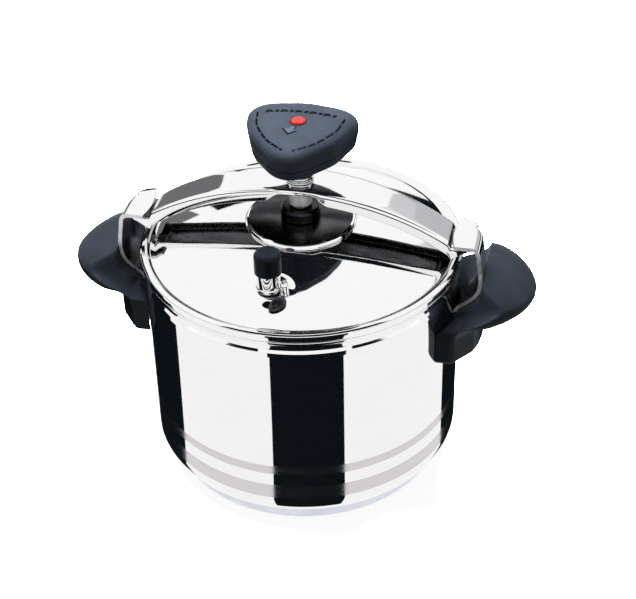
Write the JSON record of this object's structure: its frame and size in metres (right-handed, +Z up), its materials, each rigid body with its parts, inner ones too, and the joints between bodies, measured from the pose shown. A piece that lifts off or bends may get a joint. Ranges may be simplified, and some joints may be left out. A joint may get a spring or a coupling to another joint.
{
  "type": "stovetop pressure cooker",
  "caption": "Steel stovetop pressure cooker with a bow-clamped domed lid, screw knob with pressure indicator, working valve and two side grip handles.",
  "frame": {"origin": "centre of the flat underside of the base", "axes": "+X along the closed bow from the left handle to the right handle, +Z up, -Y towards the working valve"},
  "size_m": [0.3332, 0.2282, 0.2707],
  "materials": {
    "polished_steel": "mirror polished",
    "pot_steel": "mirror polished with two satin bands",
    "base_steel": "satin",
    "fixing_steel": "turned",
    "aluminium": "plain",
    "bronze": "plain",
    "black_plastic": "moulded phenolic, soft sheen",
    "red_plastic": "moulded gloss",
    "black_rubber": "silicone"
  },
  "bodies": {
    "pot": {"pot_body": "pot_steel", "base_cap": "base_steel", "base_core": "aluminium", "hook_bracket_left": "polished_steel", "hook_bracket_right": "polished_steel", "handle_left": "black_plastic", "handle_right": "black_plastic", "handle_screw_left": "fixing_steel", "handle_screw_right": "fixing_steel", "handle_washer_left": "fixing_steel", "handle_washer_right": "fixing_steel"},
    "lid": {"lid_shell": "polished_steel", "lid_gasket": "black_rubber", "lid_centre_plate": "polished_steel", "spindle_seat": "fixing_steel", "seat_nut": "fixing_steel", "thrust_washer": "bronze", "valve_housing": "polished_steel", "valve_gasket": "black_rubber", "valve_nut": "fixing_steel", "valve_spring": "fixing_steel", "safety_valve_body": "polished_steel", "safety_plug": "black_rubber"},
    "knob": {"spindle": "fixing_steel", "spindle_retaining_ring": "fixing_steel", "knob_body": "black_plastic", "knob_insert": "fixing_steel"},
    "indicator": {"indicator_button": "red_plastic", "indicator_rod": "fixing_steel", "indicator_seal": "black_rubber"},
    "bush": {"bow_bush": "fixing_steel", "bow_retaining_ring": "fixing_steel"},
    "bow": {"bow": "polished_steel"},
    "valve_cap": {"valve_cap": "black_plastic"},
    "valve_needle": {"valve_needle": "fixing_steel"},
    "safety_pin": {"safety_pin": "fixing_steel"}
  },
  "joints": [
    {"name": "lid_turn", "type": "hinge", "parent": "pot", "child": "lid", "pos_m": [0, 0, 0.17], "axis": [0, 0, 1], "range_deg": [-90, 90]},
    {"name": "knob_turn", "type": "hinge", "parent": "lid", "child": "knob", "pos_m": [0, 0, 0.215], "axis": [0, 0, 1], "range_deg": [0, 504]},
    {"name": "bow_drop", "type": "slide", "parent": "lid", "child": "bush", "axis": [0, 0, -1], "range_m": [0, 0.0042]},
    {"name": "bow_swing", "type": "hinge", "parent": "bush", "child": "bow", "pos_m": [0, 0, 0.222], "axis": [0, 0, 1], "range_deg": [-55, 55]},
    {"name": "indicator_rise", "type": "slide", "parent": "knob", "child": "indicator", "axis": [0, 0, 1], "range_m": [0, 0.004]},
    {"name": "valve_cap_turn", "type": "hinge", "parent": "lid", "child": "valve_cap", "pos_m": [-0.0058, -0.0755, 0.2], "axis": [0, 0, 1], "range_deg": [0, 90]},
    {"name": "valve_needle_lift", "type": "slide", "parent": "lid", "child": "valve_needle", "axis": [0, 0, 1], "range_m": [0, 0.002], "stiffness_N_per_m": 300, "deforming": ["valve_spring"]},
    {"name": "safety_pin_lift", "type": "slide", "parent": "lid", "child": "safety_pin", "axis": [0, 0, 1], "range_m": [0, 0.002]}
  ],
  "couplings": [
    {"joint": "bow_drop", "follows": "knob_turn", "m_per_rad": 0.000477}
  ]
}
